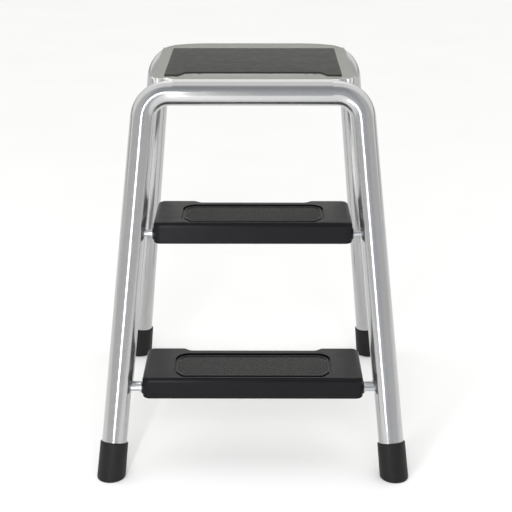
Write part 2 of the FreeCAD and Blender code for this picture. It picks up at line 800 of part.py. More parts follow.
def coupler_bar(side):
    """Flat bar beside a front leg, in the front frame's own axes."""
    width = size("coupler_width")
    thick = size("coupler_sheet")
    length = lower_drop / math.cos(splay)
    bar = block(-thick / 2, thick / 2, -width / 2, width / 2, -length, 0)
    ends = [bar_x(width / 2, -thick / 2, thick / 2, 0, z) for z in (0, -length)]
    bar = joined([bar, *ends])
    bar.rotate(Vector(), Y_AXIS, -side * size("leg_splay"))
    bar.translate(Vector(side * coupler_half(0), size("coupler_offset"), 0))
    hole = size("link_rod_diameter") / 2 + size("pin_clearance")
    for drop in (0, upper_drop, lower_drop):
        reach = leg_half(drop)
        bar = bar.cut(bar_x(hole, 0, side * 2 * reach, size("coupler_offset"), -drop))
    return bar


def coupler_pin(side):
    """Shouldered pin through the deck's ear and the top of a coupler bar."""
    radius = size("pin_diameter") / 2
    head_radius = size("pin_head_diameter") / 2
    ear_outer = size("deck_width") / 2
    stop_from = coupler_half(0) - coupler_reach()
    stop_to = stop_from - size("pin_head_height")
    head_to = ear_outer + size("pin_head_height")
    return joined(
        [
            bar_x(radius, side * stop_to, side * ear_outer, pin_back, pin_down),
            bar_x(head_radius, side * ear_outer, side * head_to, pin_back, pin_down),
            bar_x(head_radius, side * stop_to, side * stop_from, pin_back, pin_down),
        ]
    )


for side_name, side in SIDES:
    shape_node("coupler_bar_" + side_name, coupler_bar(side), front_place)
shape_node(
    "deck_coupler_pins",
    Part.makeCompound([coupler_pin(side) for _, side in SIDES]),
    deck_place,
)


# --- stays ------------------------------------------------------------------

stay_front = front_place.multVec(Vector(0, size("stay_front_back"), -size("stay_front_drop")))
stay_rear = rear_place.multVec(Vector(0, -size("stay_rear_ahead"), -size("stay_rear_drop")))
stay_run = stay_rear - stay_front
stay_length = stay_run.Length
stay_angle = math.degrees(math.atan2(stay_run.z, stay_run.y))
stay_inner = top_half + tube_radius + size("stay_offset")
stay_outer = stay_inner + size("stay_sheet")


def add_long_hole(sketch, start, end, across, radius):
    """Closed outline of two straight sides and two round ends."""
    for low, high, y in ((start, end, across + radius), (end, start, across - radius)):
        sketch.addGeometry(Part.LineSegment(Vector(low, y, 0), Vector(high, y, 0)))
    for x, turn in ((end, -math.pi / 2), (start, math.pi / 2)):
        circle = Part.Circle(Vector(x, across, 0), Z_AXIS, radius)
        sketch.addGeometry(Part.ArcOfCircle(circle, turn, turn + math.pi))


def stay(name, side):
    """Flat stay, modelled along +Y from its front pin, with a slotted rear end."""
    body = doc.addObject("PartDesign::Body", name + "_body")
    sketch = attached_sketch(body, name + "_outline", "YZ_Plane")
    slot_from = stay_length - size("stay_slot_inward")
    slot_to = stay_length + size("stay_slot_outward")
    add_long_hole(sketch, 0, slot_to, 0, size("stay_width") / 2)
    hole = size("pin_diameter") / 2 + size("pin_clearance")
    sketch.addGeometry(Part.Circle(Vector(), Z_AXIS, hole))
    across = -size("stay_slot_offset")
    add_long_hole(sketch, slot_from, slot_to, across, size("stay_slot_width") / 2)
    pad = body.newObject("PartDesign::Pad", name + "_pad")
    pad.Profile = sketch
    bind(pad, Length="D.stay_sheet")
    doc.recompute()
    low_x = stay_inner if side > 0 else -stay_outer
    place = Placement(Vector(low_x, stay_front.y, stay_front.z), Rotation(X_AXIS, stay_angle))
    return as_node(body, name, place)


def tab_x(side):
    """Low and high X of a tab, one sliding gap inside its stay."""
    face = stay_inner - size("face_clearance")
    ends = (side * face, side * (face - size("tab_sheet")))
    return min(ends), max(ends)


def stay_tab(side, reach, drop):
    """Tab welded to a leg, in its frame's own axes; reach is from leg to pin."""
    low_x, high_x = tab_x(side)
    half = size("tab_width") / 2
    tab = block(low_x, high_x, min(0, reach), max(0, reach), -drop - half, -drop + half)
    tab = tab.fuse(bar_x(half, low_x, high_x, reach, -drop))
    down_leg = Vector(side * math.sin(splay), 0, -math.cos(splay))
    leg = Part.makeCylinder(tube_radius, 4 * drop, Vector(side * top_half, 0, 0), down_leg)
    hole = size("pin_diameter") / 2 + size("seat_clearance")
    tab = tab.cut(leg).cut(bar_x(hole, low_x - 1, high_x + 1, reach, -drop))
    return max(tab.Solids, key=lambda piece: piece.Volume)


def stay_pin(side, y, z):
    """Rivet from inside the tab to a head outside the stay."""
    radius = size("pin_diameter") / 2
    low_x, high_x = tab_x(side)
    inside = side * min(abs(low_x), abs(high_x))
    head_from = side * (stay_outer + size("face_clearance"))
    head_to = head_from + side * size("pin_head_height")
    tail_from = inside - side * size("pin_head_height")
    shank = bar_x(radius, inside, head_from, y, z)
    head = bar_x(size("stay_pin_head") / 2, head_from, head_to, y, z)
    tail = bar_x(size("pin_head_diameter") / 2, tail_from, inside, y, z)
    return joined([shank, head, tail])


for side_name, side in SIDES:
    stay("stay_" + side_name, side)
shape_node(
    "front_stay_tabs",
    Part.makeCompound(
        [stay_tab(side, size("stay_front_back"), size("stay_front_drop")) for _, side in SIDES]
    ),
    front_place,
)
shape_node(
    "rear_stay_tabs",
    Part.makeCompound(
        [stay_tab(side, -size("stay_rear_ahead"), size("stay_rear_drop")) for _, side in SIDES]
    ),
    rear_place,
)
shape_node(
    "front_stay_pins",
    Part.makeCompound([stay_pin(side, stay_front.y, stay_front.z) for _, side in SIDES]),
)
shape_node(
    "rear_stay_pins",
    Part.makeCompound([stay_pin(side, stay_rear.y, stay_rear.z) for _, side in SIDES]),
)


# --- centre it, check it, write it ------------------------------------------

doc.recompute()
whole = FreeCAD.BoundBox()
for feature in nodes.values():
    whole.add(feature.Shape.optimalBoundingBox())
shift = Placement(Vector(0, -(whole.YMin + whole.YMax) / 2, 0), UNTURNED)
for feature in nodes.values():
    feature.Placement = shift.multiply(feature.Placement)
doc.recompute()

for feature in doc.Objects:
    if "Invalid" in feature.State or "Error" in feature.State:
        raise RuntimeError(f"{feature.Name} failed: {feature.State}")
for name, feature in nodes.items():
    if feature.Shape.isNull() or not feature.Shape.isValid():
        raise RuntimeError(f"{name} has no valid shape")

os.makedirs("parts", exist_ok=True)
for name, feature in nodes.items():
    feature.Shape.exportStep(os.path.join("parts", name + ".step"))

for label, point in (
    ("front bar", deck_place.Base),
    ("rear bar", rear_place.Base),
    ("upper rod", tread_place(upper_drop).Base),
    ("lower rod", tread_place(lower_drop).Base),
    ("coupler pin", deck_place.Base + Vector(0, pin_back, pin_down)),
    ("stay front pin", stay_front),
    ("stay rear pin", stay_rear),
):
    moved = shift.multVec(point)
    print(f"{label}: y {moved.y:.3f} z {moved.z:.3f}")
print(f"whole: {whole.XLength:.2f} {whole.YLength:.2f} {whole.ZLength:.2f}")
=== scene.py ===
"""Looks for a folding step stool: silver bent-tube frames, black moulded treads,
a sheet-steel deck with a rubber mat, and rubber feet.

Metres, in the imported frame: +X right, -Y the side it is climbed from, +Z up.
"""

import json
import math

import bmesh
import bpy
from bpy.props import FloatProperty, PointerProperty, StringProperty
from mathutils import Matrix, Vector


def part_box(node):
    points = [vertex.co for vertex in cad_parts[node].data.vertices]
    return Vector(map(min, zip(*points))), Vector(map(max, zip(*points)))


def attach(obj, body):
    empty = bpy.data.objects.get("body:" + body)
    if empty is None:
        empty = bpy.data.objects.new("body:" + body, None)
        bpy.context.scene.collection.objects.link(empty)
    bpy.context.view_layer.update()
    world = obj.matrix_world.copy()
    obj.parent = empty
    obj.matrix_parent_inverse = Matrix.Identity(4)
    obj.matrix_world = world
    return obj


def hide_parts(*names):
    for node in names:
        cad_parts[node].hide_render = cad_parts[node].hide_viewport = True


bl_info = {
    "name": "Folding step stool",
    "version": (1, 0, 0),
    "blender": (4, 5, 0),
    "location": "View3D > Sidebar > Step stool",
    "description": "Finishes and fine detail for a folding step stool",
    "category": "Object",
}

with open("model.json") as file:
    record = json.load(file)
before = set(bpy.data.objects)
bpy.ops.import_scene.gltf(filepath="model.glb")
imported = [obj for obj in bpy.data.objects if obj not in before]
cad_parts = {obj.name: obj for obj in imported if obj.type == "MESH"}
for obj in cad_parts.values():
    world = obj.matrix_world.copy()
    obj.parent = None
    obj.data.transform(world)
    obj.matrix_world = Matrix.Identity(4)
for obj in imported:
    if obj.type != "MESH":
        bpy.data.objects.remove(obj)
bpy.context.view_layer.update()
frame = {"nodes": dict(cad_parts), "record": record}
MM = 0.001
SAME_PLACE = 0.01 * MM

FRONT_LEAN = math.radians(16.5)
LEG_SPLAY = math.radians(5.1)
TREADS = ("upper", "lower")


# --- colours and nodes ------------------------------------------------------

NOISE_LOW, NOISE_HIGH = 0.3, 0.7  # a noise between 0 and 1 rarely leaves this range
FLAKE = 0.9  # mm: lacquer's real flakes are 0.05 mm across, drawn coarser to show

def channels_of(hex_colour):
    """Red, green and blue of a hex colour, 0 to 255."""
    return [int(hex_colour[i : i + 2], 16) for i in (1, 3, 5)]


def linear(hex_colour):
    """Linear RGBA of an sRGB hex colour."""
    channels = (c / 255 for c in channels_of(hex_colour))
    return (
        *(c / 12.92 if c <= 0.04045 else ((c + 0.055) / 1.055) ** 2.4 for c in channels),
        1.0,
    )


def add_node(tree, kind, sockets=None, **settings):
    """Adds a node; a socket's entry is a value, or the output that feeds it."""
    made = tree.nodes.new(kind)
    for name, value in settings.items():
        setattr(made, name, value)
    for socket, value in (sockets or {}).items():
        if isinstance(value, bpy.types.NodeSocket):
            tree.links.new(value, made.inputs[socket])
        else:
            made.inputs[socket].default_value = value
    return made


def new_material(name):
    """Empty node material and its tree, with object coordinates in metres."""
    material = bpy.data.materials.new(name)
    material.use_nodes = True
    tree = material.node_tree
    tree.nodes.clear()
    place = add_node(tree, "ShaderNodeTexCoord").outputs["Object"]
    return material, tree, place


def show(tree, shader):
    """Leads a shader to the material's output."""
    add_node(tree, "ShaderNodeOutputMaterial", {"Surface": shader.outputs["BSDF"]})


def grains(tree, place, size_mm, detail=2.0, roughness=0.5):
    """Noise whose blobs are about size_mm across."""
    noise = add_node(
        tree,
        "ShaderNodeTexNoise",
        {"Vector": place, "Scale": 1 / (size_mm * MM), "Detail": detail, "Roughness": roughness},
    )
    return noise.outputs["Fac"]


def spread(tree, value, low, high):
    """The range a noise mostly keeps to, stretched to run from low to high."""
    mapped = add_node(
        tree,
        "ShaderNodeMapRange",
        {
            "Value": value,
            "From Min": NOISE_LOW,
            "From Max": NOISE_HIGH,
            "To Min": low,
            "To Max": high,
        },
    )
    return mapped.outputs["Result"]


def colour_ramp(tree, value, stops):
    """Colour by a value, between stops of a position and a hex colour."""
    ramp = add_node(tree, "ShaderNodeValToRGB", {"Fac": value})
    elements = ramp.color_ramp.elements
    while len(elements) < len(stops):
        elements.new(1.0)
    for element, (position, colour) in zip(elements, stops):
        element.position = position
        element.color = linear(colour)
    return ramp.outputs["Color"]


def mottled(tree, value, hex_colour, dark, light):
    """A hex colour that a noise takes from dark to light times its brightness."""
    tones = (shade(hex_colour, dark), shade(hex_colour, light))
    return colour_ramp(tree, value, tuple(zip((NOISE_LOW, NOISE_HIGH), tones)))


def relief(tree, height, depth_mm):
    """Surface normal from a height between 0 and 1."""
    bump = add_node(
        tree, "ShaderNodeBump", {"Height": height, "Strength": 1.0, "Distance": depth_mm * MM}
    )
    return bump.outputs["Normal"]


def shade(hex_colour, factor):
    """The same hex colour, lighter or darker."""
    scaled = (min(255, round(c * factor)) for c in channels_of(hex_colour))
    return "#" + "".join(f"{c:02x}" for c in scaled)


# --- materials --------------------------------------------------------------


def silver_lacquer(name, looks):
    """Aluminium-pigmented lacquer, sprayed and stoved on steel tube.

    The pigment gives a broad grey sheen, the clear resin over it a narrow
    highlight, and the spray a faint orange peel about 4 mm across.
    """
    material, tree, place = new_material(name)
    flake = grains(tree, place, FLAKE)
    peel = grains(tree, place, 4.0, detail=1.0)
    shader = add_node(
        tree,
        "ShaderNodeBsdfPrincipled",
        {
            "Base Color": mottled(tree, flake, looks.silver, 0.97, 1.03),
            "Metallic": 0.9,
            "Roughness": spread(tree, grains(tree, place, 30.0), 0.17, 0.21),
            "Coat Weight": 0.6,
            "Coat Roughness": 0.06,
            "Coat IOR": 1.5,
            "Normal": relief(tree, peel, 0.03),
        },
    )
    show(tree, shader)
    return material


def silver_sheet(name, looks):
    """The same lacquer on pressed steel sheet, laid flat to be sprayed.

    It flows out before it is stoved, so there is no orange peel: the deck
    mirrors the room in one even tone, and only waves slightly, 30 mm across.
    """
    material, tree, place = new_material(name)
    flake = grains(tree, place, FLAKE)
    shader = add_node(
        tree,
        "ShaderNodeBsdfPrincipled",
        {
            "Base Color": mottled(tree, flake, looks.silver_sheet, 0.99, 1.01),
            "Metallic": 0.9,
            "Roughness": spread(tree, grains(tree, place, 25.0), 0.17, 0.20),
            "Coat Weight": 0.5,
            "Coat Roughness": 0.1,
            "Coat IOR": 1.5,
            "Normal": relief(tree, grains(tree, place, 30.0, detail=1.0), 0.01),
        },
    )
    show(tree, shader)
    return material


def zinc_plate(name, looks):
    """Bright zinc, barrel plated on mild steel.

    Barrel plating leaves a soft shine with fine scuffs and a cloudy tone.
    """
    material, tree, place = new_material(name)
    cloud = grains(tree, place, 8.0)
    scuff = grains(tree, place, 0.8, detail=3.0)
    shader = add_node(
        tree,
        "ShaderNodeBsdfPrincipled",
        {
            "Base Color": mottled(tree, cloud, looks.zinc, 0.96, 1.02),
            "Metallic": 1.0,
            "Roughness": spread(tree, cloud, 0.28, 0.34),
            "Normal": relief(tree, scuff, 0.006),
        },
    )
    show(tree, shader)
    return material


def moulded_plastic(name, looks):
    """Black polypropylene, injection moulded in a spark-eroded tool.

    The tool leaves a fine even grain that scatters light, so the plastic
    looks satin, and its upper faces grey where they mirror the ceiling.
    """
    material, tree, place = new_material(name)
    grain = grains(tree, place, 1.0, detail=3.0)  # real grain is 0.1 mm; drawn coarser to show
    shader = add_node(
        tree,
        "ShaderNodeBsdfPrincipled",
        {
            "Base Color": mottled(tree, grains(tree, place, 40.0), looks.plastic, 0.94, 1.06),
            "Metallic": 0.0,
            "Roughness": spread(tree, grains(tree, place, 18.0), 0.28, 0.34),
            "IOR": 1.49,
            "Specular IOR Level": 0.16,
            "Normal": relief(tree, grain, 0.02),
        },
    )
    show(tree, shader)
    return material


def nylon(name, looks):
    """Black nylon 6, injection moulded: a little shinier than the treads' plastic."""
    material, tree, place = new_material(name)
    grain = grains(tree, place, 1.2)
    shader = add_node(
        tree,
        "ShaderNodeBsdfPrincipled",
        {
            "Base Color": mottled(tree, grain, looks.plastic, 0.9, 1.1),
            "Roughness": 0.38,
            "IOR": 1.53,
            "Normal": relief(tree, grain, 0.03),
        },
    )
    show(tree, shader)
    return material


def grip_rubber(name, looks):
    """Thermoplastic rubber, over-moulded: satin on its points, faintly mottled by wear."""
    material, tree, place = new_material(name)
    mottle = grains(tree, place, 6.0, detail=3.0)
    shader = add_node(
        tree,
        "ShaderNodeBsdfPrincipled",
        {
            "Base Color": mottled(tree, mottle, looks.grip, 0.9, 1.1),
            "Roughness": spread(tree, mottle, 0.38, 0.46),
            "IOR": 1.5,
            "Specular IOR Level": 0.4,
            "Normal": relief(tree, grains(tree, place, 0.8), 0.03),
        },
    )
    show(tree, shader)
    return material


def sheet_rubber(name, looks):
    """Calendered rubber sheet, fabric-faced while it cured.

    The cloth leaves a fine pebble, which kills the shine, and handling a
    faint mottle.
    """
    material, tree, place = new_material(name)
    pebble = add_node(
        tree,
        "ShaderNodeTexVoronoi",
        {"Vector": place, "Scale": 1 / (1.4 * MM)},  # a pebble is about 1.4 mm across
        feature="SMOOTH_F1",
    ).outputs["Distance"]
    mottle = grains(tree, place, 14.0, detail=3.0)
    shader = add_node(
        tree,
        "ShaderNodeBsdfPrincipled",
        {
            "Base Color": mottled(tree, mottle, looks.mat, 0.93, 1.07),
            "Roughness": spread(tree, mottle, 0.55, 0.66),
            "IOR": 1.52,
            "Specular IOR Level": 0.3,
            "Normal": relief(tree, pebble, 0.12),
        },
    )
    show(tree, shader)
    return material


def foot_rubber(name, looks):
    """Black rubber, compression moulded: dull, and mottled where wax has bloomed."""
    material, tree, place = new_material(name)
    mottle = grains(tree, place, 9.0, detail=3.0)
    shader = add_node(
        tree,
        "ShaderNodeBsdfPrincipled",
        {
            "Base Color": mottled(tree, mottle, looks.rubber, 0.88, 1.12),
            "Roughness": spread(tree, mottle, 0.46, 0.56),
            "IOR": 1.52,
            "Specular IOR Level": 0.24,
            "Normal": relief(tree, grains(tree, place, 1.0), 0.04),
        },
    )
    show(tree, shader)
    return material


def floor_paint():
    """Matt floor paint, rolled: pale, with passes of the roller just off one tone."""
    material, tree, place = new_material("floor_paint_rolled")
    passes = grains(tree, place, 400.0)
    tones = ((NOISE_LOW, "#f7f7f6"), (NOISE_HIGH, "#f9f9f8"))
    shader = add_node(
        tree,
        "ShaderNodeBsdfPrincipled",
        {
            "Base Color": colour_ramp(tree, passes, tones),
            "Roughness": 0.7,
            "Specular IOR Level": 0.2,
        },
    )
    show(tree, shader)
    return material


FINISHES = {
    "silver_tube": ("silver_lacquer_sprayed", silver_lacquer),
    "silver_sheet": ("silver_lacquer_on_pressed_sheet", silver_sheet),
    "zinc_steel": ("bright_zinc_barrel_plated", zinc_plate),
    "black_plastic": ("polypropylene_injection_moulded", moulded_plastic),
    "black_nylon": ("nylon_injection_moulded", nylon),
    "grip_pad": ("thermoplastic_rubber_over_moulded", grip_rubber),
    "black_mat": ("rubber_sheet_calendered", sheet_rubber),
    "black_rubber": ("rubber_compression_moulded", foot_rubber),
}


def finish_for(slot, looks):
    """The material of a slot, made once."""
    name, make = FINISHES[slot]
    return bpy.data.materials.get(name) or make(name, looks)


# --- pieces -----------------------------------------------------------------


def cover_node(node, looks, slot=None):
    """Gives a CAD node the finish of its own material slot, or of another one."""
    if slot is None:
        subparts = frame["record"]["subparts"]
        slot = next(part["material_slot"] for part in subparts if part["node"] == node)
    part = frame["nodes"][node]
    part.data.materials.clear()
    part.data.materials.append(finish_for(slot, looks))


def stand_in(piece_name, mesh, node, slot, looks):
    """Links a finished mesh in place of a CAD node."""
    bodies = frame["record"]["behaviour"]["bodies"]
    body = next(name for name, nodes in bodies.items() if node in nodes)
    piece = bpy.data.objects.new(piece_name, mesh)
    bpy.context.scene.collection.objects.link(piece)
    mesh.materials.append(finish_for(slot, looks))
    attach(piece, body)
    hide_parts(node)
    return piece


def mesh_from(shape, name, smooth_angle=math.radians(35)):
    """Mesh from a bmesh, shaded smooth except across edges sharper than an angle."""
    bmesh.ops.remove_doubles(shape, verts=shape.verts, dist=SAME_PLACE)
    bmesh.ops.recalc_face_normals(shape, faces=shape.faces)
    for face in shape.faces:
        face.smooth = True
    for edge in shape.edges:
        if len(edge.link_faces) == 2 and edge.calc_face_angle() > smooth_angle:
            edge.smooth = False
    mesh = bpy.data.meshes.new(name)
    shape.to_mesh(mesh)
    shape.free()
    return mesh


def bridge(shape, lower, upper):
    """Quads between two closed rings of as many vertices."""
    count = len(lower)
    for i in range(count):
        j = (i + 1) % count
        shape.faces.new((lower[i], lower[j], upper[j], upper[i]))


# --- feet -------------------------------------------------------------------

FOOT_HEIGHT = 0.052
SOLE_RADIUS, RIM_RADIUS, LEG_RADIUS = 0.0216, 0.02108, 0.01905
SOLE_EDGE, SOLE_FLAT = 0.003, 0.0172
RECESS_DEPTH, RECESS_FLOOR, RECESS_RADIUS = 0.0012, 0.013, 0.0136  # hollow under the sole
PINHOLE = 0.0001  # radius of the recess's innermost ring
LEG_END = 0.016  # where the leg stops inside the foot
WALL_STOP = 0.0012  # the wall ends this far below the rim
RIM_DROP, RIM_CUT, RIM_FLAT = 0.0004, 0.0004, 0.0011  # soft outer edge of the rim
BORE_CUT, BORE_DROP = 0.0004, 0.0005  # soft edge where the leg enters
SOLE_LEVEL = 0.0001  # lower than this is the sole
EDGE_STEPS, WALL_STEPS, FOOT_SIDES = 6, 10, 64
LEVEL_OUT = 1.6  # rings turn square to the leg by 1 / 1.6 of the wall's height


def foot_profile():
    """Ferrule's section, from the middle of its sole up, over the rim and into its bore.

    Each point is a height along the leg, a radius, and how level its ring
    lies: 1 level with the floor, 0 square to the leg.
    """
    profile = [
        (RECESS_DEPTH, PINHOLE, 1),
        (RECESS_DEPTH, RECESS_FLOOR, 1),
        (0.0, RECESS_RADIUS, 1),
        (0.0, SOLE_FLAT, 1),
    ]
    for i in range(EDGE_STEPS + 1):
        a = i / EDGE_STEPS * math.pi / 2
        height = SOLE_EDGE * (1 - math.cos(a))
        profile.append((height, SOLE_RADIUS - SOLE_EDGE * (1 - math.sin(a)), 1))
    for i in range(1, WALL_STEPS + 1):
        share = i / WALL_STEPS
        height = SOLE_EDGE + (FOOT_HEIGHT - WALL_STOP - SOLE_EDGE) * share
        radius = SOLE_RADIUS + (RIM_RADIUS - SOLE_RADIUS) * share
        profile.append((height, radius, 1 - min(1, share * LEVEL_OUT)))
    profile += [
        (FOOT_HEIGHT - RIM_DROP, RIM_RADIUS - RIM_CUT, 0),
        (FOOT_HEIGHT, RIM_RADIUS - RIM_FLAT, 0),
        (FOOT_HEIGHT, LEG_RADIUS + BORE_CUT, 0),
        (FOOT_HEIGHT - BORE_DROP, LEG_RADIUS, 0),
        (LEG_END, LEG_RADIUS, 0),
    ]
    return profile


def middle(values):
    return (min(values) + max(values)) / 2


def foot_mesh(node, lean):
    """Ferrule turned about the leg's axis, its sole level with rounded edges."""
    side = 1 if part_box(node)[0].x > 0 else -1
    vertices = frame["nodes"][node].data.vertices
    sole = [v.co for v in vertices if v.co.z < SOLE_LEVEL]
    centre = Vector((middle([p.x for p in sole]), middle([p.y for p in sole]), 0))
    turn = Matrix.Rotation(-lean, 3, "X") @ Matrix.Rotation(-side * LEG_SPLAY, 3, "Y")
    across, beside, along = (turn @ Vector(a) for a in ((1, 0, 0), (0, 1, 0), (0, 0, 1)))
    shape = bmesh.new()
    rings = []
    for height, radius, level in foot_profile():
        ring = []
        for k in range(FOOT_SIDES):
            a = 2 * math.pi * k / FOOT_SIDES
            out = across * math.cos(a) * radius + beside * math.sin(a) * radius
            level_run = (height - out.z) / along.z
            run = level * level_run + (1 - level) * height / along.z
            ring.append(shape.verts.new(centre + out + along * run))
        rings.append(ring)
    for lower, upper in zip(rings, rings[1:]):
        bridge(shape, lower, upper)
    shape.faces.new(rings[0])
    shape.faces.new(rings[-1])
    return mesh_from(shape, node + "_ferrule")


# --- grip pads --------------------------------------------------------------

KNEE_SOFTNESS = 0.3  # share of a cut corner's sides that its knees are rounded over
KNEE_STEPS, CORNER_STEPS = 4, 8
PAD_EDGE = 0.0005
PAD_UNDERCUT, PAD_BRIM = 0.002, 0.0006  # groove around the pad, under a thin brim
GRIP_STRETCH = 1.9  # rows stand this many pitches apart
GRIP_REACH = 0.42  # a pyramid's half width at its foot, in pitches
GRIP_CROWN = 0.3  # its top's width, as a share of its foot's
GRIP_ANGLE = math.radians(20)


def pad_outline(half_x, half_y, inset, detail):
    """Pad seen from above: cut front corners with softened knees, round rear ones."""
    x, y = half_x - inset, half_y - inset
    cut_x, cut_y = detail.pad_cut_x - inset / 2, detail.pad_cut_y - inset / 2
    soft = KNEE_SOFTNESS
    knees = [
        [
            Vector((x - cut_x * (1 + soft), -y)),
            Vector((x - cut_x, -y)),
            Vector((x - cut_x * (1 - soft), -y + cut_y * soft)),
        ],
        [
            Vector((x - cut_x * soft, -y + cut_y * (1 - soft))),
            Vector((x, -y + cut_y)),
            Vector((x, -y + cut_y * (1 + soft))),
        ],
    ]
    right = []
    for start, knee, end in knees:
        for k in range(KNEE_STEPS + 1):
            t = k / KNEE_STEPS
            right.append(start * (1 - t) ** 2 + knee * 2 * t * (1 - t) + end * t**2)
    radius = detail.pad_corner - inset
    for k in range(CORNER_STEPS + 1):
        a = math.pi / 2 * k / CORNER_STEPS
        corner = (x - radius + radius * math.cos(a), y - radius + radius * math.sin(a))
        right.append(Vector(corner))
    left = [Vector((-p.x, p.y)) for p in reversed(right)]
    return right + left


def inside(point, outline):
    """Whether a point lies in a convex outline that runs anticlockwise."""
    return all(
        (b.x - a.x) * (point.y - a.y) >= (b.y - a.y) * (point.x - a.x)
        for a, b in zip(outline, outline[1:] + outline[:1])
    )


def add_pyramid(shape, x, y, reach, bottom, top):
    """Blunt pyramid on a diamond foot."""
    rings = []
    for share, z in ((1.0, bottom), (GRIP_CROWN, top)):
        spots = (
            (x + dx * reach[0] * share, y + dy * reach[1] * share, z)
            for dx, dy in ((1, 0), (0, 1), (-1, 0), (0, -1))
        )
        rings.append([shape.verts.new(spot) for spot in spots])
    foot, crown = rings
    bridge(shape, foot, crown)
    shape.faces.new(crown)
    shape.faces.new(foot)


def pad_mesh(which, detail):
    """Pad with a smooth raised border around rows of small staggered pyramids."""
    low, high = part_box(f"{which}_tread_pad")
    centre = (low + high) / 2
    half = (high - low) / 2
    shape = bmesh.new()
    border = detail.pad_border
    base = high.z - detail.grip_height
    levels = [
        (PAD_UNDERCUT, low.z),
        (PAD_UNDERCUT, high.z - 2 * PAD_BRIM),
        (0.0, high.z - PAD_BRIM),
        (0.0, high.z - PAD_EDGE),
        (PAD_EDGE, high.z),
        (border - PAD_EDGE, high.z),
        (border, high.z - PAD_EDGE),
        (border, base),
    ]
    rings = []
    for inset, z in levels:
        outline = pad_outline(half.x, half.y, inset, detail)
        rings.append([shape.verts.new((centre.x + p.x, centre.y + p.y, z)) for p in outline])
    for lower, upper in zip(rings, rings[1:]):
        bridge(shape, lower, upper)
    shape.faces.new(rings[0])
    shape.faces.new(rings[-1])
    pitch_x, pitch_y = detail.grip_pitch, detail.grip_pitch * GRIP_STRETCH
    reach = (pitch_x * GRIP_REACH, pitch_y * GRIP_REACH)
    columns = int(half.x / pitch_x) + 1
    rows = int(half.y / pitch_y * 2) + 1
    clear = pad_outline(half.x, half.y, border + reach[0], detail)
    bottom, top = base - PAD_EDGE / 4, high.z - PAD_EDGE / 4
    for row in range(-rows, rows + 1):
        for column in range(-columns, columns + 1):
            x, y = (column + (row % 2) / 2) * pitch_x, row * pitch_y / 2
            if inside(Vector((x, y)), clear):
                add_pyramid(shape, centre.x + x, centre.y + y, reach, bottom, top)
    return mesh_from(shape, f"{which}_grip_pad", GRIP_ANGLE)


# --- deck mat ---------------------------------------------------------------

NOTCH_HALF, NOTCH_DEPTH, NOTCH_SLOPE = 0.104, 0.021, 0.010
MAT_CORNER = 0.0015
MAT_ANGLE = math.radians(50)
ROUNDING_STEPS = 3
UPRIGHT_RISE = 0.0001  # an edge that rises by more than this is upright


def round_edges(shape, edges, radius):
    bmesh.ops.bevel(
        shape, geom=edges, offset=radius, segments=ROUNDING_STEPS, profile=0.5, affect="EDGES"
    )


def mat_mesh(detail):
    """Rubber sheet with soft edges and a sloped cut-back along its front."""
    low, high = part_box("deck_mat")
    outline = [
        (low.x, low.y),
        (-NOTCH_HALF - NOTCH_SLOPE, low.y),
        (-NOTCH_HALF, low.y + NOTCH_DEPTH),
        (NOTCH_HALF, low.y + NOTCH_DEPTH),
        (NOTCH_HALF + NOTCH_SLOPE, low.y),
        (high.x, low.y),
        (high.x, high.y),
        (low.x, high.y),
    ]
    shape = bmesh.new()
    face = shape.faces.new([shape.verts.new((x, y, low.z)) for x, y in outline])
    raised = bmesh.ops.extrude_face_region(shape, geom=[face])
    top = [v for v in raised["geom"] if isinstance(v, bmesh.types.BMVert)]
    bmesh.ops.translate(shape, verts=top, vec=(0, 0, high.z - low.z))
    upright = [
        e for e in shape.edges if abs(e.verts[0].co.z - e.verts[1].co.z) > UPRIGHT_RISE
    ]
    round_edges(shape, upright, MAT_CORNER)
    rim = [e for e in shape.edges if all(abs(v.co.z - high.z) < SAME_PLACE for v in e.verts)]
    round_edges(shape, rim, detail.mat_edge)
    return mesh_from(shape, "deck_mat_sheet", MAT_ANGLE)


# --- settings ---------------------------------------------------------------


def colour_property(name, description, default):
    return StringProperty(name=name, description=description, default=default)


class StoolLooks(bpy.types.PropertyGroup):
    """Colours of the stool's finishes, as sRGB hex values."""

    silver: colour_property("Tube silver", "Lacquer on both tube frames", "#b5b5b6")
    silver_sheet: colour_property("Deck silver", "Lacquer on the deck's sheet", "#b3b3b2")
    zinc: colour_property("Zinc", "Rods, bars, straps and rivets", "#c4c6c8")
    plastic: colour_property("Tread plastic", "Moulded treads", "#101013")
    grip: colour_property("Grip pad", "Pads let into the treads", "#191919")
    mat: colour_property("Deck mat", "Rubber sheet on the deck", "#2b2a27")
    rubber: colour_property("Feet", "Rubber ferrules", "#151516")


class StoolDetail(bpy.types.PropertyGroup):
    """Sizes of the fine detail."""

    grip_pitch: FloatProperty(
        name="Grip pitch",
        description="From one grip pyramid to the next along a row",
        default=0.0048,
        unit="LENGTH",
    )
    grip_height: FloatProperty(
        name="Grip height",
        description="Height of the grip pyramids",
        default=0.0014,
        unit="LENGTH",
    )
    pad_cut_x: FloatProperty(
        name="Pad cut, across",
        description="Width of a pad's cut front corners",
        default=0.011,
        unit="LENGTH",
    )
    pad_cut_y: FloatProperty(
        name="Pad cut, along",
        description="Depth of a pad's cut front corners",
        default=0.016,
        unit="LENGTH",
    )
    pad_corner: FloatProperty(
        name="Pad corner",
        description="Radius of a pad's rear corners",
        default=0.018,
        unit="LENGTH",
    )
    pad_border: FloatProperty(
        name="Pad border",
        description="Smooth border around a grip pad",
        default=0.0024,
        unit="LENGTH",
    )
    mat_edge: FloatProperty(
        name="Mat edge",
        description="Rounding of the deck mat's top edge",
        default=0.0006,
        unit="LENGTH",
    )


